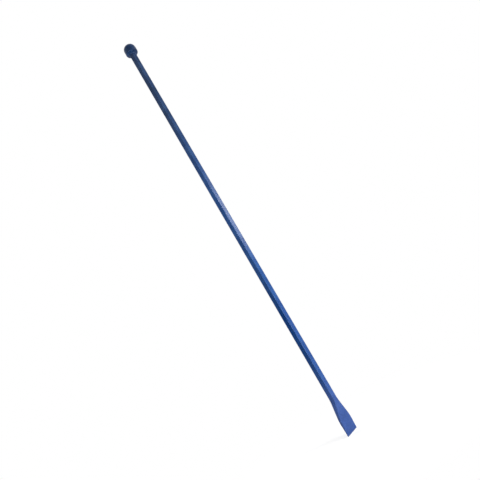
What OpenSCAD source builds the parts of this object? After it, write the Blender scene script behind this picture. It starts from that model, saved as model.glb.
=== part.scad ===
/* [Bar] */
// Length of the whole bar, from the lowest corner of the cutting edge to the top of the knob
bar_length = 1800; // [1200:10:2100]
// Width of the hexagonal shaft across its flats
shaft_across_flats = 28; // [27:0.5:32]
// How far the rolled corners of the hexagon fall short of sharp ones
shaft_corner_relief = 0.4; // [0.2:0.05:0.8]

/* [Knob] */
// Diameter of the knob
knob_diameter = 54; // [46:1:64]
// Length of the straight band round the knob
knob_band_length = 17; // [12:1:30]
// Radius of the knob's lower shoulder
knob_shoulder_radius = 7; // [3:0.5:8]
// Radius on which the band turns over into the crown
knob_rim_radius = 22; // [12:0.5:23]
// Radius of the crown
knob_crown_radius = 33; // [30:1:60]

/* [Chisel] */
// Width of the chisel across its parallel sides
chisel_width = 51; // [40:1:70]
// Height of the parallel sides above the lowest corner
chisel_parallel_length = 42; // [30:1:60]
// Length over which the sides spread from the shaft to the full width
chisel_flare_length = 96; // [60:1:140]
// Length over which the flats close in towards the cutting bevel
chisel_wedge_length = 130; // [80:1:180]
// Length of hexagonal shank between the flare and the butt weld
chisel_shank_length = 40; // [34:1:80]
// How far the forged sides swell past the broad faces
chisel_side_swell = 1.5; // [0.5:0.1:3]

/* [Cutting edge] */
// Slope of the cutting edge across the chisel, in degrees
edge_skew = 8; // [0:0.5:15]
// Thickness left on the cutting edge
edge_thickness = 1.6; // [0.8:0.1:3]
// Length of the ground bevel
bevel_length = 8; // [4:0.5:14]
// Thickness of the chisel where the bevel starts
bevel_thickness = 4.4; // [3.2:0.1:8]

/* [Knob joint] */
// Diameter of the turned tenon that carries the knob
knob_tenon_diameter = 20; // [14:0.5:22]
// Length of that tenon
knob_tenon_length = 28; // [18:1:30]
// Diameter of the turned neck under the knob
neck_diameter = 26; // [23:0.5:26.5]
// Length of that neck
neck_length = 7; // [6:0.5:14]
// Leg of the fillet weld between the neck and the knob
knob_weld_leg = 5.5; // [3:0.25:5.75]

/* [Chisel joint] */
// Diameter of the turned tenon that carries the chisel
chisel_tenon_diameter = 16; // [12:0.5:20]
// Length of that tenon
chisel_tenon_length = 26; // [16:1:27]
// Diameter of the root face at the bottom of the weld groove
groove_root_diameter = 22; // [21:0.25:24]
// Slope of each side of the weld groove, in degrees
groove_slope = 30; // [20:1:40]

/* [Fits] */
// Radial clearance between a tenon and its socket
tenon_clearance = 0.05; // [0.02:0.01:0.2]
// Gap between the end of a tenon and the floor of its socket
tenon_end_gap = 0.5; // [0.2:0.1:0.9]
// Chamfer on the end of a tenon
tenon_chamfer = 1.5; // [0.5:0.25:3]
// Slope of the drilled point at the floor of a socket, in degrees
drill_point_slope = 31; // [20:1:45]

/* [Hidden] */
$fn = 96;
// Stations along the chisel between its bevel and the butt weld
forge_steps = 44;
// Radius of the concave face of the fillet weld, in legs
weld_face_legs = 1.5;
// Share of the wedge that eases in at its upper end
wedge_ease = 0.25;
// Largest share of a forged side that its rounded edge takes
edge_share = 0.25;
// Share of the chisel's thickness that is flat land on its sides
side_share = 0.5;

flat_r = shaft_across_flats / 2;
sharp_r = shaft_across_flats / sqrt(3);
corner_r = sharp_r - shaft_corner_relief;
corner_cut = sharp_r / 2 - sqrt(corner_r * corner_r - flat_r * flat_r);
neck_r = neck_diameter / 2;

knob_r = knob_diameter / 2;
rim_x = knob_r - knob_rim_radius;
crown_reach = knob_crown_radius - knob_rim_radius;
crown_drop = sqrt(crown_reach * crown_reach - rim_x * rim_x);
knob_height = knob_shoulder_radius + knob_band_length + knob_crown_radius - crown_drop;
knob_z = bar_length - knob_height;
rim_z = knob_z + knob_shoulder_radius + knob_band_length;
crown_z = rim_z - crown_drop;
weld_leg = min(knob_weld_leg, knob_r - knob_shoulder_radius - neck_r);
neck_z = knob_z - neck_length;

flare_top = chisel_parallel_length + chisel_flare_length;
wedge_top = bevel_length + chisel_wedge_length;
joint_z = flare_top + chisel_shank_length;
root_r = groove_root_diameter / 2;
groove_reach = (sharp_r - root_r) * tan(groove_slope);

function soft_step(u) = let (v = min(max(u, 0), 1)) v * v * (3 - 2 * v);
function eased_ramp(u, e) = (u < e ? u * u / (2 * e) : u - e / 2) / (1 - e / 2);
function spread(z) = soft_step((flare_top - z) / chisel_flare_length);
function mix(a, b, u) = a + (b - a) * u;

// Half sizes of the forged section at height z
function half_width(z) = mix(sharp_r - corner_cut / 2, chisel_width / 2, spread(z));
function half_face(z) = mix(sharp_r / 2, chisel_width / 2 - chisel_side_swell, spread(z));
function closing(z) = eased_ramp(max(wedge_top - z, 0) / chisel_wedge_length, wedge_ease);
function half_thick(z) =
    z < bevel_length
    ? mix(edge_thickness, bevel_thickness, z / bevel_length) / 2
    : mix(flat_r, bevel_thickness / 2, closing(z));
function half_land(z) = mix(corner_cut * sqrt(3) / 2, side_share * half_thick(z), spread(z));

// Rise of a point at x above its station, which slopes the cutting edge
function skew_rise(x, z) =
    (x + chisel_width / 2) * tan(edge_skew) * max(1 - z / chisel_parallel_length, 0);

// One quarter of the forged section: side land, then the broad face's corner cut back both ways
function step_from(p, q) =
    let (d = q - p, n = norm(d))
    p + d / n * min(corner_cut, edge_share * n);
function quarter(z) =
    let (side = [half_width(z), half_land(z)], edge = [half_face(z), half_thick(z)])
    [side, step_from(edge, side), step_from(edge, [0, edge[1]])];
function turned(q, x, y) = [for (p = q) [p[0] * x, p[1] * y]];
function reversed(q) = [for (i = [len(q) - 1 : -1 : 0]) q[i]];
function ring(z) =
    let (
        q = quarter(z),
        flat = concat(q, reversed(turned(q, -1, 1)), turned(q, -1, -1), reversed(turned(q, 1, -1)))
    )
    [for (p = flat) [p[0], p[1], z + skew_rise(p[0], z)]];

stations = concat(
    [0],
    [for (i = [0 : forge_steps]) mix(bevel_length, joint_z, i / forge_steps)]
);
ring_size = len(ring(0));
ring_count = len(stations);
blade_points = [for (z = stations) each ring(z)];
blade_sides = [for (k = [0 : ring_count - 2], i = [0 : ring_size - 1])
    let (j = (i + 1) % ring_size, a = k * ring_size, b = a + ring_size)
    each [[a + i, b + i, b + j], [a + i, b + j, a + j]]];
blade_caps = [
    [for (i = [0 : ring_size - 1]) i],
    [for (i = [ring_size - 1 : -1 : 0]) (ring_count - 1) * ring_size + i]
];

// Ring of triangular section that both ends are bevelled to and the butt weld fills
module groove_ring() {
    tip = sharp_r + shaft_corner_relief;
    rise = (tip - root_r) * tan(groove_slope);
    rotate_extrude()
        polygon([[root_r, joint_z], [tip, joint_z - rise], [tip, joint_z + rise]]);
}

// Blind drilled socket that opens at z and runs up or down
module socket(z, r, depth, turn) {
    translate([0, 0, z])
        rotate([turn, 0, 0])
            rotate_extrude()
                polygon([[0, 0], [r, 0], [r, depth], [0, depth + r * tan(drill_point_slope)]]);
}

// Half outline that the bar is turned to: lower tenon, weld bevel, rolled corners, neck and upper tenon
module turned_outline() {
    low_r = chisel_tenon_diameter / 2;
    low_z = joint_z - chisel_tenon_length;
    high_r = knob_tenon_diameter / 2;
    high_z = knob_z + knob_tenon_length;
    polygon([
        [0, low_z],
        [low_r - tenon_chamfer, low_z],
        [low_r, low_z + tenon_chamfer],
        [low_r, joint_z],
        [root_r, joint_z],
        [corner_r, joint_z + (corner_r - root_r) * tan(groove_slope)],
        [corner_r, neck_z - corner_r + neck_r],
        [neck_r, neck_z],
        [neck_r, knob_z],
        [high_r, knob_z],
        [high_r, high_z - tenon_chamfer],
        [high_r - tenon_chamfer, high_z],
        [0, high_z]
    ]);
}

module hex_shaft() {
    color("royalblue")
        intersection() {
            cylinder(h = bar_length, r = sharp_r, $fn = 6);
            rotate_extrude()
                turned_outline();
        }
}

// Half outline of the knob: crown arc, rim arc, straight band and lower shoulder arc
module knob_outline() {
    tilt = atan2(crown_drop, rim_x);
    rim_top = [
        rim_x + knob_rim_radius * cos(tilt),
        rim_z + knob_rim_radius * sin(tilt)
    ];
    shoulder_x = knob_r - knob_shoulder_radius;
    shoulder_z = knob_z + knob_shoulder_radius;
    intersection() {
        translate([0, crown_z])
            circle(r = knob_crown_radius);
        polygon([[0, crown_z], rim_top, [rim_top[0], bar_length], [0, bar_length]]);
    }
    intersection() {
        translate([rim_x, rim_z])
            circle(r = knob_rim_radius);
        polygon([[rim_x, rim_z], [knob_r, rim_z], [knob_r, rim_top[1]], rim_top]);
    }
    intersection() {
        translate([shoulder_x, shoulder_z])
            circle(r = knob_shoulder_radius);
        translate([shoulder_x, knob_z])
            square(knob_shoulder_radius);
    }
    // the body reaches the ends of every arc, so it overlaps what it carries
    polygon([
        [0, knob_z],
        [shoulder_x, knob_z],
        [knob_r, shoulder_z],
        [knob_r, rim_z],
        rim_top,
        [0, bar_length]
    ]);
}

module tamping_knob() {
    color("royalblue")
        difference() {
            rotate_extrude()
                knob_outline();
            socket(
                knob_z,
                knob_tenon_diameter / 2 + tenon_clearance,
                knob_tenon_length + tenon_end_gap,
                0
            );
        }
}

module knob_weld() {
    face_r = weld_leg * weld_face_legs;
    chord = weld_leg / sqrt(2);
    back = sqrt(face_r * face_r - chord * chord) / sqrt(2);
    color("steelblue")
        rotate_extrude()
            difference() {
                polygon([
                    [neck_r, knob_z],
                    [neck_r, knob_z - weld_leg],
                    [neck_r + weld_leg, knob_z]
                ]);
                translate([neck_r + weld_leg / 2 + back, knob_z - weld_leg / 2 - back])
                    circle(r = face_r);
            }
}

module chisel_blade() {
    color("royalblue")
        difference() {
            polyhedron(points = blade_points, faces = concat(blade_sides, blade_caps));
            groove_ring();
            socket(
                joint_z,
                chisel_tenon_diameter / 2 + tenon_clearance,
                chisel_tenon_length + tenon_end_gap,
                180
            );
        }
}

module blade_weld() {
    color("steelblue")
        intersection() {
            groove_ring();
            translate([0, 0, joint_z - groove_reach])
                cylinder(h = 2 * groove_reach, r = sharp_r, $fn = 6);
            translate([0, 0, joint_z - groove_reach])
                cylinder(h = 2 * groove_reach, r = corner_r);
        }
}

hex_shaft();
tamping_knob();
knob_weld();
chisel_blade();
blade_weld();
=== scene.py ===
import math

import bmesh
import bpy
from mathutils import Matrix, Vector, noise


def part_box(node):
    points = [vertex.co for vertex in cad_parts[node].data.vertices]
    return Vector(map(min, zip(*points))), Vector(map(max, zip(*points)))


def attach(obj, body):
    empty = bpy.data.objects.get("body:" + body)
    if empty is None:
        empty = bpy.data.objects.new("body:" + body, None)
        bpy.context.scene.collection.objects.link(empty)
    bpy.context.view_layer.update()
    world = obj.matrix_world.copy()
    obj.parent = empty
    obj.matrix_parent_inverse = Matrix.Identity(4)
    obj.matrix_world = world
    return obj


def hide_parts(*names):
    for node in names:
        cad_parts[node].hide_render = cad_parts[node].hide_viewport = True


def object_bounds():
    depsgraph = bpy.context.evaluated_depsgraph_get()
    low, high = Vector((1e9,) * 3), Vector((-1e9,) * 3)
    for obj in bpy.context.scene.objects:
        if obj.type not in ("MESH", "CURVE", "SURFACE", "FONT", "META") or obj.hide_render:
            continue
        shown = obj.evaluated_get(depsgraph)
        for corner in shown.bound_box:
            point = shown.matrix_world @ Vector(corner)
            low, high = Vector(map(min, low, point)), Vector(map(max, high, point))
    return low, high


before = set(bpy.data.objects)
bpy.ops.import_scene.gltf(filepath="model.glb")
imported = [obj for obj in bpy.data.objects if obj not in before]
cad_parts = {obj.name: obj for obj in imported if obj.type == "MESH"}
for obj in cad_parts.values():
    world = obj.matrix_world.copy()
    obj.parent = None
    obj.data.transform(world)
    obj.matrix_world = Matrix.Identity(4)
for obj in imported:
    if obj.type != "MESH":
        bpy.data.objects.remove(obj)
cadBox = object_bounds()
mm = 0.001
print("frame loaded, solids span", [round(v, 4) for v in cadBox[1] - cadBox[0]])


# sRGB hex to linear rgba
def hexColour(code):
    parts = [int(code.lstrip("#")[i:i + 2], 16) / 255 for i in (0, 2, 4)]
    linear = [c / 12.92 if c <= 0.04045 else ((c + 0.055) / 1.055) ** 2.4 for c in parts]
    return (*linear, 1.0)


# one node with its settings; an input is either a number or the socket it comes from
def addNode(tree, kind, inputs=None, **settings):
    node = tree.nodes.new(kind)
    for key, value in settings.items():
        setattr(node, key, value)
    for key, value in (inputs or {}).items():
        if isinstance(value, bpy.types.NodeSocket):
            tree.links.new(value, node.inputs[key])
        else:
            node.inputs[key].default_value = value
    return node


def blend(a, b, u):
    return a + (b - a) * u


def softStep(u):
    v = min(max(u, 0.0), 1.0)
    return v * v * (3 - 2 * v)


# unit vector at an angle
def heading(angle):
    return Vector((math.cos(angle), math.sin(angle)))


# slow swellings of a surface, with finer ones half as high
def swelling(p, scales, shift):
    coarse, fine = scales
    return noise.noise(p * coarse + Vector(shift)) + 0.5 * noise.noise(p * fine)


# one dipped coat, with painted light and shade along its length: paler at the chisel, deeper on the lower
# length, greyer and deeper towards the knob and darkest on the knob
enamel = {
    "bar": ("#214B8D", "#28579B", "#3464A7"),   # royal blue: pooled, even, thin
    "low": ("#1A4488", "#1F4F96", "#2A5BA2"),   # painted shade: deeper blue on the lower length
    # painted light: paler towards the chisel
    "tip": ("#395493", "#405DA2", "#4B68AC"),
    # painted shade: greyer and deeper towards the knob
    "top": ("#233F63", "#2E4B7A", "#3B5A88"),
    "knob": ("#112E54", "#173A68", "#214876"),  # painted shade: darkest on the knob
    "lowFade": (0.62, 0.46),        # m up the bar, from none of that blue to all of it
    "tipFade": (0.265, 0.090),
    "topFade": (0.88, 1.48),
    "knobFade": (1.738, 1.760),
    "rubbed": "#5B74A6",            # polished down on ridges
    "bare": "#5E5B58",              # dark oiled steel in chips
    "ior": 1.5,
    "specular": 0.17,
    "roughness": 0.25,
    "roughSwing": (-0.05, 0.09),    # where the coat is thick, where it is scuffed
    "roughSpan": (0.3, 0.75),       # patches between which it swings
    "scuffRough": 0.18,             # added in scratches and chips
    "poolSize": 46.0,               # mm, clouds in the coat
    "poolStops": (0.3, 0.5, 0.72),  # clouds at which it is pooled, even, thin
    "patchSize": 7.0,               # mm, worn patches on ridges
    "rubSpan": (0.34, 0.68),        # wear at which rubbing starts and is full
    "rubMost": 0.5,
    "chipSpan": 0.025,              # how sharply a chip ends
    "scratchSize": (0.3, 22.0),     # mm wide and long
    "scratchLeans": ((0.35, 0.6, 0.2), (-0.8, 0.3, 1.1)),
    "scratchSpan": (0.685, 0.77),
    "scratchMost": 0.7,
    "knockSpan": (0.43, 0.55),      # clouds in which scratches gather
    "runSize": (11.0, 150.0),       # mm, sags down the length
    "runHeight": 0.06,              # mm, as are the next three
    "peelHeight": 0.010,
    "nibHeight": 0.03,
    "chipDepth": 0.08,
    "peelSize": 1.7,                # mm, orange peel
    "nibSize": 8.0,                 # mm between specks of dust
    "nibReach": (0.05, 0.02),       # foot and top of a speck, in those gaps
    "relief": 0.7,                  # strength of every bump
}


# grainSize is the steel's own texture in mm along X, Y and Z, grainHeight what is felt of it
# through the coat, and chips the rubbing at which the coat gives way
def paintedSteel(name, grainSize, grainHeight, chips):
    material = bpy.data.materials.new(name)
    material.use_nodes = True
    tree = material.node_tree
    tree.nodes.clear()
    place = addNode(tree, "ShaderNodeTexCoord").outputs["Object"]
    height = addNode(tree, "ShaderNodeSeparateXYZ", {0: place}).outputs["Z"]
    wear = addNode(tree, "ShaderNodeAttribute", attribute_name="edgeWear").outputs["Fac"]

    # clouds in the coat, a little darker where it is thick
    pool = addNode(tree, "ShaderNodeTexNoise", {
        "Vector": place, "Scale": 1 / (enamel["poolSize"] * mm),
        "Detail": 4.0, "Roughness": 0.6}).outputs["Fac"]
    pooled, even, thin = enamel["poolStops"]
    coats = {}
    for part in ("bar", "low", "tip", "top", "knob"):
        ramp = addNode(tree, "ShaderNodeValToRGB", {"Fac": pool})
        stops = ramp.color_ramp.elements
        stops[0].position, stops[0].color = pooled, hexColour(enamel[part][0])
        stops[1].position, stops[1].color = thin, hexColour(enamel[part][2])
        stops.new(even).color = hexColour(enamel[part][1])
        coats[part] = ramp.outputs["Color"]
    # painted light and shade: the coats are blended by height up the bar, paler at the chisel, deeper low
    # down and towards the knob
    coat = coats["bar"]
    for part in ("low", "tip", "top", "knob"):
        start, end = enamel[part + "Fade"]
        paintedLightAndShade = addNode(tree, "ShaderNodeMapRange", {
            "Value": height, "From Min": start, "From Max": end},
            interpolation_type="SMOOTHSTEP").outputs["Result"]
        coat = addNode(tree, "ShaderNodeMix", {
            "Factor": paintedLightAndShade, 6: coat, 7: coats[part]}, data_type="RGBA").outputs[2]

    # ridges are rubbed in patches, not evenly, and chip where they were knocked
    patch = addNode(tree, "ShaderNodeTexNoise", {
        "Vector": place, "Scale": 1 / (enamel["patchSize"] * mm),
        "Detail": 6.0, "Roughness": 0.7}).outputs["Fac"]
    rubReach = addNode(tree, "ShaderNodeMath", {0: wear, 1: patch}, operation="MULTIPLY").outputs[0]
    rubStart, rubFull = enamel["rubSpan"]
    rubbed = addNode(tree, "ShaderNodeMapRange", {
        "Value": rubReach, "From Min": rubStart, "From Max": rubFull,
        "To Min": 0.0, "To Max": enamel["rubMost"]}).outputs["Result"]
    chipped = addNode(tree, "ShaderNodeMapRange", {
        "Value": rubReach, "From Min": chips, "From Max": chips + enamel["chipSpan"]}).outputs["Result"]

    # hairline scratches, leaning two ways and gathered where the bar was knocked about
    wide, long = enamel["scratchSize"]
    faint, clear = enamel["scratchSpan"]
    lines = []
    for lean in enamel["scratchLeans"]:
        scratchPlace = addNode(tree, "ShaderNodeMapping", {
            "Vector": place, "Rotation": lean,
            "Scale": (1 / (long * mm), 1 / (long * mm), 1 / (wide * mm))}).outputs["Vector"]
        scratchNoise = addNode(tree, "ShaderNodeTexNoise", {
            "Vector": scratchPlace, "Scale": 1.0, "Detail": 1.0}).outputs["Fac"]
        lines.append(addNode(tree, "ShaderNodeMapRange", {
            "Value": scratchNoise, "From Min": faint, "From Max": clear,
            "To Max": enamel["scratchMost"]}).outputs["Result"])
    crossed = addNode(tree, "ShaderNodeMath", {0: lines[0], 1: lines[1]}, operation="MAXIMUM").outputs[0]
    calm, busy = enamel["knockSpan"]
    knocked = addNode(tree, "ShaderNodeMapRange", {
        "Value": pool, "From Min": calm, "From Max": busy},
        interpolation_type="SMOOTHSTEP").outputs["Result"]
    scratch = addNode(tree, "ShaderNodeMath", {0: crossed, 1: knocked}, operation="MULTIPLY").outputs[0]
    thinned = addNode(tree, "ShaderNodeMath", {0: rubbed, 1: scratch}, operation="MAXIMUM").outputs[0]
    rubbedCoat = addNode(tree, "ShaderNodeMix", {
        "Factor": thinned, 6: coat, 7: hexColour(enamel["rubbed"])}, data_type="RGBA").outputs[2]
    colour = addNode(tree, "ShaderNodeMix", {
        "Factor": chipped, 6: rubbedCoat, 7: hexColour(enamel["bare"])}, data_type="RGBA").outputs[2]

    # dull where scuffed or chipped, glossier where the coat is thick
    thick, scuffed = enamel["roughSwing"]
    gloss = addNode(tree, "ShaderNodeMapRange", {
        "Value": patch, "From Min": enamel["roughSpan"][0], "From Max": enamel["roughSpan"][1],
        "To Min": enamel["roughness"] + thick, "To Max": enamel["roughness"] + scuffed}).outputs["Result"]
    dull = addNode(tree, "ShaderNodeMath", {0: chipped, 1: scratch}, operation="MAXIMUM").outputs[0]
    rough = addNode(tree, "ShaderNodeMath", {
        0: dull, 1: enamel["scuffRough"], 2: gloss}, operation="MULTIPLY_ADD").outputs[0]

    # heights, coarse to fine: steel grain, sags, orange peel, dust nibs, chips
    grainPlace = addNode(tree, "ShaderNodeMapping", {
        "Vector": place, "Scale": tuple(1 / (s * mm) for s in grainSize)}).outputs["Vector"]
    grain = addNode(tree, "ShaderNodeTexNoise", {
        "Vector": grainPlace, "Scale": 1.0, "Detail": 5.0, "Roughness": 0.62}).outputs["Fac"]
    across, down = enamel["runSize"]
    runPlace = addNode(tree, "ShaderNodeMapping", {
        "Vector": place, "Scale": (1 / (across * mm), 1 / (across * mm), 1 / (down * mm))}).outputs["Vector"]
    run = addNode(tree, "ShaderNodeTexNoise", {
        "Vector": runPlace, "Scale": 1.0, "Detail": 1.0}).outputs["Fac"]
    peel = addNode(tree, "ShaderNodeTexNoise", {
        "Vector": place, "Scale": 1 / (enamel["peelSize"] * mm), "Detail": 2.0}).outputs["Fac"]
    nibCell = addNode(tree, "ShaderNodeTexVoronoi", {
        "Vector": place, "Scale": 1 / (enamel["nibSize"] * mm)}).outputs["Distance"]
    nibFoot, nibTop = enamel["nibReach"]
    nib = addNode(tree, "ShaderNodeMapRange", {
        "Value": nibCell, "From Min": nibFoot, "From Max": nibTop}).outputs["Result"]
    normal = None
    for source, depth, sunk in (
            (grain, grainHeight, False), (run, enamel["runHeight"], False),
            (peel, enamel["peelHeight"], False), (nib, enamel["nibHeight"], False),
            (chipped, enamel["chipDepth"], True)):
        sockets = {"Height": source, "Strength": enamel["relief"], "Distance": depth * mm}
        if normal:
            sockets["Normal"] = normal
        normal = addNode(tree, "ShaderNodeBump", sockets, invert=sunk).outputs["Normal"]

    shader = addNode(tree, "ShaderNodeBsdfPrincipled", {
        "Base Color": colour, "Roughness": rough, "IOR": enamel["ior"], "Metallic": 0.0,
        "Specular IOR Level": enamel["specular"], "Normal": normal}).outputs["BSDF"]
    addNode(tree, "ShaderNodeOutputMaterial", {"Surface": shader})
    return material


# long faint rolling lines
rolledEnamel = paintedSteel("enamelOnRolledSteel", grainSize=(5.0, 5.0, 85.0), grainHeight=0.05, chips=0.67)
# scale pits and hammer marks
forgedEnamel = paintedSteel("enamelOnForgedSteel", grainSize=(9.0, 9.0, 12.0), grainHeight=0.20, chips=0.62)
# fine rings from the lathe
turnedEnamel = paintedSteel("enamelOnTurnedSteel", grainSize=(14.0, 14.0, 1.6), grainHeight=0.03, chips=0.64)
# weld spatter
weldEnamel = paintedSteel("enamelOnWeld", grainSize=(2.2, 2.2, 2.2), grainHeight=0.06, chips=0.74)
# grinding lines
groundEnamel = paintedSteel("enamelOnGroundSeam", grainSize=(6.0, 6.0, 0.5), grainHeight=0.05, chips=0.72)
print("paint mixed: 5 finishes")


# a closed skin over rings of points
# a ring of one point is a pole, and a loop joins its last ring to its first
def skinRings(name, rings, wears, material, loop=False):
    mesh = bpy.data.meshes.new(name)
    shell = bmesh.new()
    wearLayer = shell.verts.layers.float.new("edgeWear")
    rows = []
    for ring, wearRow in zip(rings, wears):
        row = []
        for point, amount in zip(ring, wearRow):
            vert = shell.verts.new(Vector(point) * mm)
            vert[wearLayer] = amount
            row.append(vert)
        rows.append(row)
    for low, high in zip(rows, rows[1:] + rows[:1] if loop else rows[1:]):
        count = max(len(low), len(high))
        for i in range(count):
            j = (i + 1) % count
            corners = [low[i % len(low)], low[j % len(low)], high[j % len(high)], high[i % len(high)]]
            shell.faces.new(list(dict.fromkeys(corners)))
    for end in (rows[0], rows[-1]):
        if len(end) > 2 and not loop:
            shell.faces.new(end)
    bmesh.ops.recalc_face_normals(shell, faces=shell.faces)
    for face in shell.faces:
        face.smooth = True
    shell.to_mesh(mesh)
    shell.free()
    mesh.materials.append(material)
    piece = bpy.data.objects.new(name, mesh)
    bpy.context.scene.collection.objects.link(piece)
    return piece


# edges that turn more than the angle stay crisp
def crispEdges(piece, degrees):
    shell = bmesh.new()
    shell.from_mesh(piece.data)
    for edge in shell.edges:
        edge.smooth = len(edge.link_faces) == 2 and edge.calc_face_angle(0) < math.radians(degrees)
    shell.to_mesh(piece.data)
    shell.free()


# a closed or open poly curve, points in mm, weights carried as point radii
def drawCurve(name, points, closed, weights=None):
    curve = bpy.data.curves.new(name, "CURVE")
    curve.dimensions = "3D"
    spline = curve.splines.new("POLY")
    spline.points.add(len(points) - 1)
    for i, point in enumerate(points):
        spline.points[i].co = tuple(c * mm for c in point) + (1.0,)
        spline.points[i].radius = weights[i] * mm if weights else 1.0
    spline.use_cyclic_u = closed
    drawn = bpy.data.objects.new(name, curve)
    bpy.context.scene.collection.objects.link(drawn)
    return drawn


# sockets of a new geometry tree: name, kind, value
def openTree(name, sockets):
    tree = bpy.data.node_groups.new(name, "GeometryNodeTree")
    tree.interface.new_socket("Geometry", in_out="INPUT", socket_type="NodeSocketGeometry")
    for label, kind, _ in sockets:
        tree.interface.new_socket(label, in_out="INPUT", socket_type="NodeSocket" + kind)
    tree.interface.new_socket("Geometry", in_out="OUTPUT", socket_type="NodeSocketGeometry")
    return tree


# the end of a tree: the wear is kept for the paint, and the shape is shaded, made real and painted
def closeTree(tree, shape, wear, paint):
    marked = addNode(tree, "GeometryNodeStoreNamedAttribute", {
        "Geometry": shape, "Name": "edgeWear", "Value": wear},
        data_type="FLOAT", domain="POINT").outputs[0]
    smooth = addNode(tree, "GeometryNodeSetShadeSmooth", {"Geometry": marked}).outputs[0]
    real = addNode(tree, "GeometryNodeRealizeInstances", {"Geometry": smooth}).outputs[0]
    painted = addNode(tree, "GeometryNodeSetMaterial", {"Geometry": real, "Material": paint}).outputs[0]
    addNode(tree, "NodeGroupOutput", {"Geometry": painted})


# run the tree on a drawn curve and keep the result as a plain mesh
def bakeTree(drawn, tree, sockets, name):
    modifier = drawn.modifiers.new(tree.name, "NODES")
    modifier.node_group = tree
    values = {label: value for label, _, value in sockets}
    for item in tree.interface.items_tree:
        if item.item_type == "SOCKET" and item.in_out == "INPUT" and item.name in values:
            modifier[item.identifier] = values[item.name]
    graph = bpy.context.evaluated_depsgraph_get()
    mesh = bpy.data.meshes.new_from_object(drawn.evaluated_get(graph))
    mesh.name = name
    drawn.modifiers.remove(modifier)
    bpy.data.objects.remove(drawn)
    piece = bpy.data.objects.new(name, mesh)
    bpy.context.scene.collection.objects.link(piece)
    return piece


# hexagon bar, one vertex towards +X
shaft = {
    "flat": 14.0,              # half across flats
    "cornerRelief": 0.4,       # what a rolled corner falls short of a sharp one
    "cornerRound": 1.7,        # rolled corner, with the coat on it
    "cornerTurn": 10,          # degrees between points round a corner
    "cornerLand": 0.7,         # from a corner's end to the next point
    "flatShares": (0.28, 0.5, 0.72),
    "jointZ": 178.0,           # weld to the chisel
    "rootRadius": 11.0,        # bottom of the weld groove
    "grooveSlope": 30.0,
    "grooveRows": 6,
    "lowTenon": (8.0, 26.0),   # radius and length
    "highTenon": (10.0, 28.0),
    "tenonChamfer": 1.5,
    "shoulderStep": 0.01,      # height in which a square shoulder turns
    "drillSlope": 31.0,        # point of the sockets in the chisel and the knob
    "neckRadius": 13.0,
    "neckLength": 7.0,
    "neckRows": 4,
    "rowGap": 5.0,
    "rowMargin": 1.0,
    "unturned": 40.0,          # clears every corner
    "waviness": 0.05,          # rolling is never dead straight
    "wavesPerMetre": 14.0,
    "nickDepth": 0.3,
    "nicksPerMetre": 55.0,
    "nickSpan": (0.66, 0.74),  # noise at which a nick starts and is full
    "ridgeFoot": -2.2,         # wear on the flats, well below none
    "crisp": 28,
    "seed": 11.0,
}
shaft["knobZ"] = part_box("tamping_knob")[0].z / mm
shaft["neckZ"] = shaft["knobZ"] - shaft["neckLength"]
sharpRadius = shaft["flat"] * 2 / math.sqrt(3)
cornerRadius = sharpRadius - shaft["cornerRelief"]


def rolledSection():
    section, rounding, land = [], shaft["cornerRound"], shaft["cornerLand"]
    halfCorner = math.radians(30)
    edgeRun = rounding * math.tan(halfCorner)
    for k in range(6):
        turn = math.radians(60 * k)
        centre = heading(turn) * (sharpRadius - rounding / math.cos(halfCorner))
        for step in range(-30, 31, shaft["cornerTurn"]):
            section.append(centre + heading(turn + math.radians(step)) * rounding)
        here = heading(turn) * sharpRadius
        there = heading(turn + math.pi / 3) * sharpRadius
        side = (there - here).length
        inner = [side * share for share in shaft["flatShares"]]
        for along in (edgeRun + land, *inner, side - edgeRun - land):
            section.append(here.lerp(there, along / side))
    return [(p.x, p.y, 0.0) for p in section]


# rows up the bar with the radius it is turned to there
def turnedRows():
    low, high = shaft["jointZ"], shaft["knobZ"]
    root, neck, neckZ = shaft["rootRadius"], shaft["neckRadius"], shaft["neckZ"]
    lowR, lowLong = shaft["lowTenon"]
    highR, highLong = shaft["highTenon"]
    cut, step, margin = shaft["tenonChamfer"], shaft["shoulderStep"], shaft["rowMargin"]
    slope = math.tan(math.radians(shaft["grooveSlope"]))
    grooveTop = low + (cornerRadius - root) * slope
    coneLow = neckZ - (cornerRadius - neck)
    rows = [(low - lowLong, lowR - cut), (low - lowLong + cut, lowR), (low - step, lowR), (low, root)]
    for i in range(1, shaft["grooveRows"] + 1):
        u = i / shaft["grooveRows"]
        rows.append((blend(low, grooveTop, u), blend(root, cornerRadius, u)))
    z = grooveTop + margin
    while z < coneLow - margin:
        rows.append((z, shaft["unturned"]))
        z += shaft["rowGap"]
    for i in range(shaft["neckRows"] + 1):
        u = i / shaft["neckRows"]
        rows.append((blend(coneLow, neckZ, u), blend(cornerRadius, neck, u)))
    rows += [(high - step, neck), (high, highR)]
    rows += [(high + highLong - cut, highR), (high + highLong, highR - cut)]
    return rows


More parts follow.
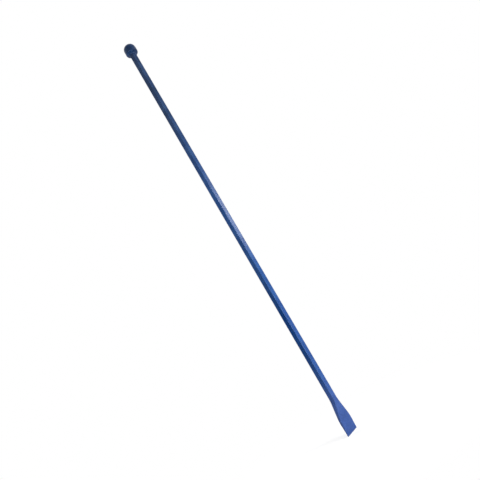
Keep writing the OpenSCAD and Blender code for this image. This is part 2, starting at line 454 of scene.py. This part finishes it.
def makeShaft():
    rows = turnedRows()
    path = drawCurve("barRows", [(0, 0, z) for z, _ in rows], False, [r for _, r in rows])
    section = drawCurve("rolledSection", rolledSection(), True)
    sockets = [
        ("Section", "Object", section),
        ("Flat Radius", "Float", shaft["flat"] * mm),
        ("Ridge Radius", "Float", cornerRadius * mm),
        ("Waviness", "Float", shaft["waviness"] * mm),
        ("Nick Depth", "Float", shaft["nickDepth"] * mm),
        ("Seed", "Float", shaft["seed"]),
        ("Paint", "Material", rolledEnamel),
    ]
    tree = openTree("turnedBar", sockets)
    given = addNode(tree, "NodeGroupInput").outputs
    turned = addNode(tree, "GeometryNodeInputRadius").outputs[0]
    kept = addNode(tree, "GeometryNodeCaptureAttribute", {"Geometry": given["Geometry"]}, domain="POINT")
    kept.capture_items.new("FLOAT", "turned")
    tree.links.new(turned, kept.inputs["turned"])
    thin = addNode(tree, "GeometryNodeSetCurveRadius", {"Curve": kept.outputs["Geometry"], "Radius": 1.0})
    upright = addNode(tree, "GeometryNodeSetCurveNormal", {
        "Curve": thin.outputs[0], "Normal": (1, 0, 0)}, mode="FREE")
    hexagon = addNode(tree, "GeometryNodeObjectInfo", {"Object": given["Section"]}).outputs["Geometry"]
    swept = addNode(tree, "GeometryNodeCurveToMesh", {
        "Curve": upright.outputs[0], "Profile Curve": hexagon, "Fill Caps": True}).outputs["Mesh"]

    # turn the hexagon down to the row's radius
    spot = addNode(tree, "GeometryNodeInputPosition").outputs[0]
    flatSpot = addNode(tree, "ShaderNodeVectorMath", {0: spot, 1: (1, 1, 0)}, operation="MULTIPLY").outputs[0]
    reach = addNode(tree, "ShaderNodeVectorMath", {0: flatSpot}, operation="LENGTH").outputs["Value"]
    share = addNode(tree, "ShaderNodeMath", {
        0: kept.outputs["turned"], 1: reach}, operation="DIVIDE").outputs[0]
    held = addNode(tree, "ShaderNodeMath", {0: share, 1: 1.0}, operation="MINIMUM").outputs[0]
    lathe = addNode(tree, "ShaderNodeCombineXYZ", {"X": held, "Y": held, "Z": 1.0}).outputs[0]
    place = addNode(tree, "ShaderNodeVectorMath", {0: spot, 1: lathe}, operation="MULTIPLY").outputs[0]
    lathed = addNode(tree, "GeometryNodeSetPosition", {"Geometry": swept, "Position": place}).outputs[0]

    # rolled length only: slow waves, and nicks along the ridges
    rolled = addNode(tree, "ShaderNodeMath", {
        0: kept.outputs["turned"], 1: given["Ridge Radius"]}, operation="GREATER_THAN").outputs[0]
    ridge = addNode(tree, "ShaderNodeMapRange", {
        "Value": reach, "From Min": given["Flat Radius"], "From Max": given["Ridge Radius"],
        "To Min": shaft["ridgeFoot"], "To Max": 1.0}, interpolation_type="LINEAR").outputs["Result"]
    ridgeHeld = addNode(tree, "ShaderNodeMath", {
        0: ridge, 1: rolled}, operation="MULTIPLY", use_clamp=True).outputs[0]
    wave = addNode(tree, "ShaderNodeTexNoise", {
        "Vector": spot, "W": given["Seed"], "Scale": shaft["wavesPerMetre"], "Detail": 1.0},
        noise_dimensions="4D").outputs["Fac"]
    nick = addNode(tree, "ShaderNodeTexNoise", {
        "Vector": spot, "W": given["Seed"], "Scale": shaft["nicksPerMetre"], "Detail": 2.0},
        noise_dimensions="4D").outputs["Fac"]
    nickHit = addNode(tree, "ShaderNodeMapRange", {
        "Value": nick, "From Min": shaft["nickSpan"][0], "From Max": shaft["nickSpan"][1]},
        interpolation_type="SMOOTHSTEP").outputs["Result"]
    nicked = addNode(tree, "ShaderNodeMath", {0: nickHit, 1: ridgeHeld}, operation="MULTIPLY").outputs[0]
    waveIn = addNode(tree, "ShaderNodeMath", {0: wave, 1: given["Waviness"]}, operation="MULTIPLY").outputs[0]
    waveOn = addNode(tree, "ShaderNodeMath", {0: waveIn, 1: rolled}, operation="MULTIPLY").outputs[0]
    dent = addNode(tree, "ShaderNodeMath", {
        0: nicked, 1: given["Nick Depth"], 2: waveOn}, operation="MULTIPLY_ADD").outputs[0]
    inward = addNode(tree, "ShaderNodeMath", {0: dent, 1: -1.0}, operation="MULTIPLY").outputs[0]
    normal = addNode(tree, "GeometryNodeInputNormal").outputs[0]
    shift = addNode(tree, "ShaderNodeVectorMath", {0: normal, "Scale": inward}, operation="SCALE").outputs[0]
    worn = addNode(tree, "GeometryNodeSetPosition", {"Geometry": lathed, "Offset": shift}).outputs[0]
    wearValue = addNode(tree, "ShaderNodeMath", {0: ridgeHeld, 1: nicked}, operation="ADD").outputs[0]
    closeTree(tree, worn, wearValue, given["Paint"])
    piece = bakeTree(path, tree, sockets, "hexagonBar")
    bpy.data.objects.remove(section)
    crispEdges(piece, shaft["crisp"])
    return piece


hexagonBar = makeShaft()
print("shaft swept:", len(hexagonBar.data.polygons), "faces")


# forged chisel, broad faces to the front and back
chisel = {
    "width": 51.0,
    "parallel": 42.0,          # straight sides above the edge
    "flare": 96.0,
    "wedge": 130.0,
    "wedgeEase": 0.25,         # share of the wedge that eases in
    "sideSwell": 1.5,
    "sideShare": 0.5,          # flat land on the sides, in half thicknesses
    "skew": 8.0,               # slope of the cutting edge
    "edgeThick": 1.6,
    "bevel": 8.0,
    "bevelThick": 4.4,
    "cornerSpread": (25, 12),  # 25 parts in 12 of the relief are cut off each side at a corner
    "tipRound": 1.2,           # corners of the edge, broken by use
    "tipLoss": (0.8, 0.5),     # of that from the width, and of the thickness
    "landRound": 0.85,         # rounding beside the land, in lands
    "faceRound": (1.9, 0.45),  # rounding beside the broad face: mm at most, share of the slope
    "roundSteps": (4, 6),
    "roundLimit": (0.9, 0.45),  # share of the sides before and after that a rounding takes at most
    "faceShares": (0.07, 0.24, 0.42, 0.6, 0.8, 1.0),
    "sideWear": 0.5,
    "roundWear": (0.8, 1.0),
    "roundSwell": (0.45, 0.55),  # of it at the ends of a rounding, and more at its middle
    "faceWear": (0.35, 4),     # beside the rounding, and how fast it fades
    "tipWear": (0.95, 1.5),    # on the bevel, and mm of it that are worn evenly
    "forging": 0.30,           # uneven faces
    "forgeScale": (0.045, 0.13),
    "forgeShift": (3, 7, 1),
    "forgeLift": 0.6,          # keeps it inward
    "forgeSide": 0.4,          # less of it sideways
    "forgeFade": (10, 30),     # mm above the edge and below the weld
    "edgeRows": (0, 0.2, 0.5, 0.9, 1.3, 2.5, 4.5, 6.5, 7.5, 8.0, 8.5, 9.5),
    "rowGap": 2.0,
    "rowMargin": 0.5,
    "bore": 8.05,              # socket for the bar's lower tenon
    "boreDeep": 26.5,
    "crisp": 32,
}
flareTop = chisel["parallel"] + chisel["flare"]
cornerCut = (sharpRadius - cornerRadius) * chisel["cornerSpread"][0] / chisel["cornerSpread"][1]


def chiselSection(z):
    bevel, join = chisel["bevel"], shaft["jointZ"]
    spread = softStep((flareTop - z) / chisel["flare"])
    ease, u = chisel["wedgeEase"], max(flareTop - z, 0) / chisel["wedge"]
    closing = (u * u / (2 * ease) if u < ease else u - ease / 2) / (1 - ease / 2)
    wide = blend(sharpRadius - cornerCut / 2, chisel["width"] / 2, spread)
    face = blend(sharpRadius / 2, chisel["width"] / 2 - chisel["sideSwell"], spread)
    if z < bevel:
        thick = blend(chisel["edgeThick"], chisel["bevelThick"], z / bevel) / 2
    else:
        thick = blend(shaft["flat"], chisel["bevelThick"] / 2, closing)
    land = blend(cornerCut * math.sqrt(3) / 2, chisel["sideShare"] * thick, spread)

    # edge and its corners are broken, never knife sharp
    tip, (wideLoss, thickLoss) = chisel["tipRound"], chisel["tipLoss"]
    if z < tip:
        lost = 1 - math.sqrt(max(1 - ((tip - z) / tip) ** 2, 0))
        wide, face = wide - wideLoss * tip * lost, face - wideLoss * tip * lost
        thick, land = thick * (1 - thickLoss * lost), land * (1 - thickLoss * lost)

    # one quarter: side land, two rounded corners, broad face
    side, top = Vector((wide, land)), Vector((face, thick))
    faceMost, faceShare = chisel["faceRound"]
    cuts = (chisel["landRound"] * land, min(faceMost, faceShare * (top - side).length))
    ways = ((side, Vector((wide, 0)), top), (top, side, Vector((0, thick))))
    limitIn, limitOut = chisel["roundLimit"]
    endWear, swell = chisel["roundSwell"]
    outline = [Vector((wide, 0.0))]
    quarterWear = [chisel["sideWear"] * spread]
    for (at, before, after), cut, steps, amount in zip(
            ways, cuts, chisel["roundSteps"], chisel["roundWear"]):
        inTo = at + (before - at).normalized() * min(cut, limitIn * (before - at).length)
        outOf = at + (after - at).normalized() * min(cut, limitOut * (after - at).length)
        for i in range(steps + 1):
            w = i / steps
            outline.append(inTo * (1 - w) ** 2 + at * 2 * w * (1 - w) + outOf * w * w)
            quarterWear.append(amount * (endWear + swell * math.sin(math.pi * w)))
    last = outline[-1]
    faceWear, faceFade = chisel["faceWear"]
    for share in chisel["faceShares"]:
        outline.append(last.lerp(Vector((0, thick)), share))
        quarterWear.append(max(0.0, faceWear - faceFade * share))
    tipWear, tipEven = chisel["tipWear"]
    if z < bevel + tipEven:
        rub = 1 - softStep((z - tipEven) / bevel)
        quarterWear = [max(v, tipWear * rub) for v in quarterWear]
    points = outline + [Vector((-p.x, p.y)) for p in outline[-2::-1]]
    wear = quarterWear + quarterWear[-2::-1]
    points += [Vector((p.x, -p.y)) for p in points[-2:0:-1]]
    wear += wear[-2:0:-1]

    # weld groove at the top, sloped edge at the bottom
    groove = shaft["rootRadius"] + (join - z) / math.tan(math.radians(shaft["grooveSlope"]))
    slope = math.tan(math.radians(chisel["skew"]))
    ring = []
    for p in points:
        if p.length > groove:
            p = p * (groove / p.length)
        rise = (p.x + chisel["width"] / 2) * slope * max(1 - z / chisel["parallel"], 0)
        ring.append(Vector((p.x, p.y, z + rise)))
    return ring, wear


def makeChisel():
    join, grooveRows = shaft["jointZ"], shaft["grooveRows"]
    heights = list(chisel["edgeRows"])
    grooveLow = join - (cornerRadius - shaft["rootRadius"]) * math.tan(math.radians(shaft["grooveSlope"]))
    while heights[-1] + chisel["rowGap"] < grooveLow - chisel["rowMargin"]:
        heights.append(heights[-1] + chisel["rowGap"])
    heights += [blend(grooveLow, join, u / grooveRows) for u in range(grooveRows + 1)]
    fadeLow, fadeHigh = chisel["forgeFade"]
    rings, wears = [], []
    for z in heights:
        ring, wear = chiselSection(z)
        fade = softStep(z / fadeLow) * softStep((grooveLow - z) / fadeHigh)
        uneven = []
        for p in ring:
            slow = swelling(p, chisel["forgeScale"], chisel["forgeShift"])
            out = Vector((chisel["forgeSide"] * p.x, p.y, 0)).normalized()
            uneven.append(p + out * chisel["forging"] * fade * min(slow - chisel["forgeLift"], 0.0))
        rings.append(uneven)
        wears.append(wear)
    bore, floor = chisel["bore"], join - chisel["boreDeep"]
    circle = [math.atan2(p.y, p.x) for p in rings[-1]]
    for z in (join, floor):
        rings.append([Vector((bore * math.cos(a), bore * math.sin(a), z)) for a in circle])
        wears.append([0.0] * len(circle))
    rings.append([Vector((0, 0, floor - bore * math.tan(math.radians(shaft["drillSlope"]))))])
    wears.append([0.0])
    piece = skinRings("forgedChisel", rings, wears, forgedEnamel)
    crispEdges(piece, chisel["crisp"])
    return piece


forgedChisel = makeChisel()
print("chisel forged:", len(forgedChisel.data.polygons), "faces")


# domed tamping knob, turned from round stock
knob = {
    "radius": 27.0,
    "band": 17.0,
    "shoulder": 7.0,
    "rim": 22.0,
    "crown": 33.0,
    "around": 96,
    "crownRows": 12,
    "rimRows": 16,
    "bandRows": 8,
    "shoulderRows": 12,
    "crownWear": 0.25,
    "crownFresh": 3,            # last row round the top that is not rubbed
    "bandWear": 0.3,
    "rimWear": 0.45,            # on top of the band's, as is the next
    "shoulderWear": 0.4,
    "seat": 17.5,               # ring on the underside
    "boreLand": 1.0,
    "bore": 10.05,              # socket for the bar's upper tenon
    "boreDeep": 28.5,
    "uneven": 0.18,
    "unevenFrom": 19.5,         # radius past which it is
    "unevenScale": (0.07, 0.2),
    "unevenShift": (9, 2, 5),
    "unevenLift": 0.25,
    "pole": 0.01,               # a ring smaller than this is one point
    "crisp": 40,
}


def makeKnob():
    base = shaft["knobZ"]
    top = cadBox[1].z / mm
    r, shoulder, rim, crown = knob["radius"], knob["shoulder"], knob["rim"], knob["crown"]
    rimX, crownZ = r - rim, top - crown
    rimZ = base + shoulder + knob["band"]
    meet = math.atan2(rimZ - crownZ, rimX)  # both arcs share this normal
    even = knob["bandWear"]
    outline = []
    count = knob["crownRows"]
    for i in range(count + 1):
        a = blend(math.pi / 2, meet, i / count)
        wear = knob["crownWear"] * (i > knob["crownFresh"])
        outline.append((crown * math.cos(a), crownZ + crown * math.sin(a), wear))
    count = knob["rimRows"]
    for i in range(1, count + 1):
        a = blend(meet, 0.0, i / count)
        wear = even + knob["rimWear"] * math.sin(math.pi * i / count)
        outline.append((rimX + rim * math.cos(a), rimZ + rim * math.sin(a), wear))
    count = knob["bandRows"]
    for i in range(1, count + 1):
        outline.append((r, blend(rimZ, base + shoulder, i / count), even))
    count = knob["shoulderRows"]
    for i in range(1, count + 1):
        a = math.radians(-90 * i / count)
        wear = even + knob["shoulderWear"] * math.sin(math.pi * i / count)
        outline.append((
            r - shoulder + shoulder * math.cos(a), base + shoulder + shoulder * math.sin(a), wear))
    bore, roof = knob["bore"], base + knob["boreDeep"]
    outline += [(knob["seat"], base, 0.0), (bore + knob["boreLand"], base, 0.0), (bore, base, 0.0)]
    outline += [(bore, roof, 0.0), (0.0, roof + bore * math.tan(math.radians(shaft["drillSlope"])), 0.0)]
    rings, wears = [], []
    for radius, z, wear in outline:
        if radius < knob["pole"]:
            rings.append([Vector((0, 0, z))])
            wears.append([wear])
            continue
        ring = []
        for i in range(knob["around"]):
            a = math.tau * i / knob["around"]
            p = Vector((radius * math.cos(a), radius * math.sin(a), z))
            if radius > knob["unevenFrom"]:
                dent = max(0.0, knob["unevenLift"] - swelling(p, knob["unevenScale"], knob["unevenShift"]))
                p -= Vector((p.x, p.y, 0)).normalized() * knob["uneven"] * dent
            ring.append(p)
        rings.append(ring)
        wears.append([wear] * len(ring))
    piece = skinRings("domedKnob", rings, wears, turnedEnamel)
    crispEdges(piece, knob["crisp"])
    return piece


domedKnob = makeKnob()
print("knob turned:", len(domedKnob.data.polygons), "faces")


# fillet bead under the knob, laid in overlapping ripples
bead = {
    "leg": 5.5,
    "faceLegs": 1.5,           # hollow of the face, in legs
    "faceRows": 14,
    "faceToe": 0.06,           # ripples die out towards both toes
    "ripples": 34,
    "rippleHeight": 0.42,
    "rippleRise": 0.6,         # how steeply a ripple swells
    "rippleFall": 0.8,         # share of a ripple after which it drops
    "wobble": 0.8,
    "wobblesPerMetre": 120.0,
    "wear": 0.5,
    "around": 408,
    "seed": 4.0,
}


def beadSection():
    leg, root, top = bead["leg"], shaft["neckRadius"], shaft["knobZ"]
    faceRadius = bead["faceLegs"] * leg
    half = leg / math.sqrt(2)
    back = math.sqrt(faceRadius ** 2 - half ** 2)
    middle = Vector((root + leg / 2, top - leg / 2))
    centre = middle + Vector((1, -1)).normalized() * back
    low, high = Vector((root, top - leg)), Vector((root + leg, top))
    start, end = math.atan2(*(low - centre).yx), math.atan2(*(high - centre).yx)
    if start < 0:
        start += math.tau
    if end < 0:
        end += math.tau
    turns = [blend(start, end, i / bead["faceRows"]) for i in range(bead["faceRows"] + 1)]
    face = [centre + faceRadius * heading(a) for a in turns] + [Vector((root, top))]
    return [(p.x - middle.x, middle.y - p.y, 0.0) for p in reversed(face)]  # about the middle of the bead


def makeBead():
    section = drawCurve("beadSection", beadSection(), True)
    sockets = [
        ("Around", "Int", bead["around"]),
        ("Ripples", "Float", float(bead["ripples"])),
        ("Ripple Height", "Float", bead["rippleHeight"] * mm),
        ("Neck Radius", "Float", shaft["neckRadius"] * mm),
        ("Knob Height", "Float", shaft["knobZ"] * mm),
        ("Leg", "Float", bead["leg"] * mm),
        ("Ring Radius", "Float", (shaft["neckRadius"] + bead["leg"] / 2) * mm),
        ("Ring Place", "Vector", (0, 0, (shaft["knobZ"] - bead["leg"] / 2) * mm)),
        ("Seed", "Float", bead["seed"]),
        ("Paint", "Material", weldEnamel),
    ]
    tree = openTree("rippledBead", sockets)
    given = addNode(tree, "NodeGroupInput").outputs

    # the section carried round the neck
    ringCurve = addNode(tree, "GeometryNodeCurvePrimitiveCircle", {
        "Resolution": given["Around"], "Radius": given["Ring Radius"]}, mode="RADIUS").outputs["Curve"]
    ringMesh = addNode(tree, "GeometryNodeCurveToMesh", {
        "Curve": ringCurve, "Profile Curve": given["Geometry"]}).outputs["Mesh"]
    sweep = addNode(tree, "GeometryNodeTransform", {
        "Geometry": ringMesh, "Translation": given["Ring Place"]}).outputs["Geometry"]

    # how far out from the neck and down from the knob, in legs
    spot = addNode(tree, "GeometryNodeInputPosition").outputs[0]
    apart = addNode(tree, "ShaderNodeSeparateXYZ", {0: spot}).outputs
    angle = addNode(tree, "ShaderNodeMath", {0: apart["Y"], 1: apart["X"]}, operation="ARCTAN2").outputs[0]
    flatSpot = addNode(tree, "ShaderNodeVectorMath", {0: spot, 1: (1, 1, 0)}, operation="MULTIPLY").outputs[0]
    reach = addNode(tree, "ShaderNodeVectorMath", {0: flatSpot}, operation="LENGTH").outputs["Value"]
    out = addNode(tree, "ShaderNodeMath", {
        0: reach, 1: given["Neck Radius"]}, operation="SUBTRACT").outputs[0]
    outShare = addNode(tree, "ShaderNodeMath", {0: out, 1: given["Leg"]}, operation="DIVIDE").outputs[0]
    below = addNode(tree, "ShaderNodeMath", {
        0: given["Knob Height"], 1: apart["Z"]}, operation="SUBTRACT").outputs[0]
    downShare = addNode(tree, "ShaderNodeMath", {0: below, 1: given["Leg"]}, operation="DIVIDE").outputs[0]

    # ripples bow across the face, wobble, swell slowly and drop
    onFace = addNode(tree, "ShaderNodeMath", {0: outShare, 1: downShare}, operation="MULTIPLY").outputs[0]
    faceMask = addNode(tree, "ShaderNodeMapRange", {
        "Value": onFace, "From Min": 0.0, "From Max": bead["faceToe"]}).outputs["Result"]
    across = addNode(tree, "ShaderNodeMath", {0: outShare, 1: downShare}, operation="SUBTRACT").outputs[0]
    bow = addNode(tree, "ShaderNodeMath", {0: across, 1: across}, operation="MULTIPLY").outputs[0]
    turns = addNode(tree, "ShaderNodeMath", {0: angle, 1: 1 / math.tau}, operation="MULTIPLY").outputs[0]
    wobble = addNode(tree, "ShaderNodeTexNoise", {
        "Vector": spot, "W": given["Seed"], "Scale": bead["wobblesPerMetre"], "Detail": 1.0},
        noise_dimensions="4D").outputs["Fac"]
    count = addNode(tree, "ShaderNodeMath", {
        0: turns, 1: given["Ripples"], 2: bow}, operation="MULTIPLY_ADD").outputs[0]
    uneven = addNode(tree, "ShaderNodeMath", {
        0: wobble, 1: bead["wobble"], 2: count}, operation="MULTIPLY_ADD").outputs[0]
    phase = addNode(tree, "ShaderNodeMath", {0: uneven}, operation="FRACT").outputs[0]
    ramp = addNode(tree, "ShaderNodeMath", {0: phase, 1: bead["rippleRise"]}, operation="POWER").outputs[0]
    fall = addNode(tree, "ShaderNodeMapRange", {
        "Value": phase, "From Min": bead["rippleFall"], "From Max": 1.0, "To Min": 1.0, "To Max": 0.0},
        interpolation_type="SMOOTHSTEP").outputs["Result"]
    scale = addNode(tree, "ShaderNodeMath", {0: ramp, 1: fall}, operation="MULTIPLY").outputs[0]
    scaleOn = addNode(tree, "ShaderNodeMath", {0: scale, 1: faceMask}, operation="MULTIPLY").outputs[0]
    height = addNode(tree, "ShaderNodeMath", {
        0: scaleOn, 1: given["Ripple Height"]}, operation="MULTIPLY").outputs[0]
    normal = addNode(tree, "GeometryNodeInputNormal").outputs[0]
    shift = addNode(tree, "ShaderNodeVectorMath", {0: normal, "Scale": height}, operation="SCALE").outputs[0]
    rippled = addNode(tree, "GeometryNodeSetPosition", {"Geometry": sweep, "Offset": shift}).outputs[0]
    wearValue = addNode(tree, "ShaderNodeMath", {
        0: scaleOn, 1: bead["wear"]}, operation="MULTIPLY").outputs[0]
    closeTree(tree, rippled, wearValue, given["Paint"])
    return bakeTree(section, tree, sockets, "rippledBead")


rippledBead = makeBead()
print("bead laid:", len(rippledBead.data.polygons), "faces")


# butt weld between bar and chisel, ground down to the hexagon by hand
seam = {
    "halfBand": 3.3,           # ground band either side of the joint
    "proud": 0.10,             # what the grinder left
    "sink": 0.04,              # the band's edges dip under the bar's skin
    "fall": 4,                 # power of the curve by which they do
    "wander": 0.5,             # and they are not ruled lines
    "wanderScale": 0.16,
    "wanderApart": 4,          # so that the two edges wander differently
    "flats": 0.05,             # facets of the grinding
    "flatScale": (0.3, 1.4),   # across and along
    "wear": (0.25, 0.5),       # all over, and more on the ridges
    "ridgeFrom": 1.06,         # where a ridge starts, in half flats
    "ridgeSpan": 0.8,
    "rows": 12,
    "crisp": 45,
}


def makeSeam():
    middle = shaft["jointZ"]
    section = [Vector(p[:2]) for p in rolledSection()]
    rings = [[(p.normalized() * shaft["rootRadius"]).to_3d() + Vector((0, 0, middle)) for p in section]]
    wears = [[0.0] * len(section)]
    ridge = shaft["flat"] * seam["ridgeFrom"]
    around, along = seam["flatScale"]
    allOver, onRidge = seam["wear"]
    for i in range(seam["rows"] + 1):
        u = 2 * i / seam["rows"] - 1
        fall = u ** seam["fall"]
        apart = Vector((0, 0, seam["wanderApart"] * (u > 0)))
        ring, wear = [], []
        for p in section:
            stray = noise.noise((p * seam["wanderScale"]).to_3d() + apart)
            edge = seam["halfBand"] + seam["wander"] * stray
            ground = seam["flats"] * noise.noise(Vector((p.x * around, p.y * around, u * along)))
            lift = (seam["proud"] + ground) * (1 - fall) - seam["sink"] * fall
            out = p + p.normalized() * lift
            ring.append(Vector((out.x, out.y, middle + u * edge)))
            wear.append(allOver + onRidge * softStep((p.length - ridge) / seam["ridgeSpan"]))
        rings.append(ring)
        wears.append(wear)
    piece = skinRings("groundSeam", rings, wears, groundEnamel, loop=True)
    crispEdges(piece, seam["crisp"])
    return piece


groundSeam = makeSeam()
print("seam ground:", len(groundSeam.data.polygons), "faces")

for piece in (hexagonBar, forgedChisel, domedKnob, rippledBead, groundSeam):
    lows = [min(v.co[i] for v in piece.data.vertices) / mm for i in range(3)]
    highs = [max(v.co[i] for v in piece.data.vertices) / mm for i in range(3)]
    print(piece.name, [round(v, 2) for v in lows], [round(v, 2) for v in highs])

for piece, node in ((hexagonBar, "hex_shaft"), (forgedChisel, "chisel_blade"), (domedKnob, "tamping_knob"),
                    (rippledBead, "knob_weld"), (groundSeam, "blade_weld")):
    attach(piece, "root")
    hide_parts(node)

studio = {
    "floorSize": 16.0,
    "floorColour": "#B8B8B8",
    "floorGlow": 0.70,          # what is added where it is looked at, near the bar
    "floorFade": (0.15, 0.60),  # m from the bar, to plain white
    "ambient": 0.070,
    "card": (-1.2, -0.04, 0.22, 0.62, 0.5),  # m: its X and Y, foot and head, half its width
    "cardColour": "#202020",
    "lamps": {  # place, width and height, watts, height it is aimed at, seen in the gloss
        "key": ((0.2, -0.93, 0.32), (0.5, 0.6), 7.3, 0.32, True),
        "strip": ((0.80, -1.27, 1.32), (0.25, 0.45), 9.2, 0.92, True),
        "fill": ((-0.70, -0.42, 1.27), (0.35, 0.35), 2.25, 1.27, True),
        "kick": ((-0.17, -0.11, 0.05), (0.10, 0.08), 0.060, 0.05, False),
        "top": ((0.35, -0.16, 2.25), (0.30, 0.30), 2.5, 1.77, False),
        "back": ((0.55, 1.7, 1.0), (1.2, 1.6), 19.0, 1.0, False),
        "side": ((-1.0, 1.43, 1.0), (1.0, 1.4), 13.0, 1.0, False),
    },
}


# white where it is looked at or mirrored, dimmer as a light source
def seenRays(tree):
    path = addNode(tree, "ShaderNodeLightPath").outputs
    mirrored = addNode(tree, "ShaderNodeMath", {
        0: path["Is Glossy Ray"], 1: path["Is Transmission Ray"]}, operation="MAXIMUM").outputs[0]
    return addNode(tree, "ShaderNodeMath", {
        0: path["Is Camera Ray"], 1: mirrored}, operation="MAXIMUM").outputs[0]


# a flat sheet of the stage, and the empty tree of its material
def stageSheet(name, corners):
    mesh = bpy.data.meshes.new(name)
    mesh.from_pydata(corners, [], [(0, 1, 2, 3)])
    sheet = bpy.data.objects.new(name, mesh)
    bpy.context.scene.collection.objects.link(sheet)
    material = bpy.data.materials.new(name)
    material.use_nodes = True
    material.node_tree.nodes.clear()
    mesh.materials.append(material)
    return sheet, material.node_tree


def makeStudio():
    half = studio["floorSize"] / 2
    _, tree = stageSheet("paleFloor", [
        (-half, -half, 0), (half, -half, 0), (half, half, 0), (-half, half, 0)])
    matte = addNode(tree, "ShaderNodeBsdfDiffuse", {"Color": hexColour(studio["floorColour"])}).outputs[0]
    seen = seenRays(tree)
    lift = addNode(tree, "ShaderNodeMath", {0: seen, 1: studio["floorGlow"]}, operation="MULTIPLY").outputs[0]
    glow = addNode(tree, "ShaderNodeEmission", {"Color": (1, 1, 1, 1), "Strength": lift}).outputs[0]
    near = addNode(tree, "ShaderNodeAddShader", {0: matte, 1: glow}).outputs[0]
    place = addNode(tree, "ShaderNodeTexCoord").outputs["Object"]
    away = addNode(tree, "ShaderNodeVectorMath", {0: place}, operation="LENGTH").outputs["Value"]
    fade = addNode(tree, "ShaderNodeMapRange", {
        "Value": away, "From Min": studio["floorFade"][0], "From Max": studio["floorFade"][1]},
        interpolation_type="SMOOTHSTEP").outputs["Result"]
    clear = addNode(tree, "ShaderNodeMath", {0: seen, 1: fade}, operation="MULTIPLY").outputs[0]
    white = addNode(tree, "ShaderNodeEmission", {"Color": (1, 1, 1, 1), "Strength": 1.0}).outputs[0]
    whole = addNode(tree, "ShaderNodeMixShader", {0: clear, 1: near, 2: white}).outputs[0]
    addNode(tree, "ShaderNodeOutputMaterial", {"Surface": whole})

    # a dark card to one side, met only in the gloss: the flat turned that way is deepest there
    x, y, foot, head, half = studio["card"]
    card, tree = stageSheet("darkCard", [
        (x, y - half, foot), (x, y + half, foot), (x, y + half, head), (x, y - half, head)])
    card.visible_camera = card.visible_diffuse = card.visible_shadow = False
    dark = addNode(tree, "ShaderNodeBsdfDiffuse", {"Color": hexColour(studio["cardColour"])}).outputs[0]
    addNode(tree, "ShaderNodeOutputMaterial", {"Surface": dark})

    world = bpy.data.worlds.new("whiteRoom")
    world.use_nodes = True
    tree = world.node_tree
    tree.nodes.clear()
    level = addNode(tree, "ShaderNodeMapRange", {
        "Value": seenRays(tree), "To Min": studio["ambient"], "To Max": 1.0}).outputs["Result"]
    sky = addNode(tree, "ShaderNodeBackground", {"Color": (1, 1, 1, 1), "Strength": level}).outputs[0]
    addNode(tree, "ShaderNodeOutputWorld", {"Surface": sky})
    bpy.context.scene.world = world

    for name, (spot, size, power, aimHeight, glossy) in studio["lamps"].items():
        lamp = bpy.data.lights.new(name + "Softbox", "AREA")
        lamp.shape = "RECTANGLE"
        lamp.size, lamp.size_y = size
        lamp.energy = power
        box = bpy.data.objects.new(name + "Softbox", lamp)
        bpy.context.scene.collection.objects.link(box)
        facing = Vector((0, 0, aimHeight)) - Vector(spot)
        box.matrix_world = Matrix.Translation(spot) @ facing.to_track_quat("-Z", "Y").to_matrix().to_4x4()
        box.visible_camera = False
        box.visible_glossy = glossy


makeStudio()
print("studio lit")

# low in front, to the chisel's left, looking up and rolled so the bar lies across the picture
camera = {
    "around": 32.0,
    "lift": 12.31,
    "roll": 30.19,
    "reach": 1.7368,
    "aimZ": 0.8012,
    "aimSide": -0.0023,
    "focal": 447.62,            # px
    "picture": 480,             # px across
    "sensor": 36.0,             # mm across
}


def placeCamera():
    phi, beta, roll = (math.radians(camera[k]) for k in ("around", "lift", "roll"))
    ahead = Vector((math.sin(phi), math.cos(phi), 0))
    right = Vector((math.cos(phi), -math.sin(phi), 0))
    up = Vector((0, 0, 1))
    forward = ahead * math.cos(beta) + up * math.sin(beta)
    over = up * math.cos(beta) - ahead * math.sin(beta)
    aim = up * camera["aimZ"] + right * camera["aimSide"]
    x = right * math.cos(roll) - over * math.sin(roll)
    y = right * math.sin(roll) + over * math.cos(roll)
    lens = bpy.data.cameras.new("camera")
    lens.sensor_width = camera["sensor"]
    lens.lens = camera["focal"] / camera["picture"] * camera["sensor"]
    body = bpy.data.objects.new("camera", lens)
    turn = Matrix((x, y, -forward)).transposed().to_4x4()
    body.matrix_world = Matrix.Translation(aim - forward * camera["reach"]) @ turn
    bpy.context.scene.collection.objects.link(body)
    bpy.context.scene.camera = body


placeCamera()
bpy.context.scene.view_settings.view_transform = "Standard"
print("camera placed")
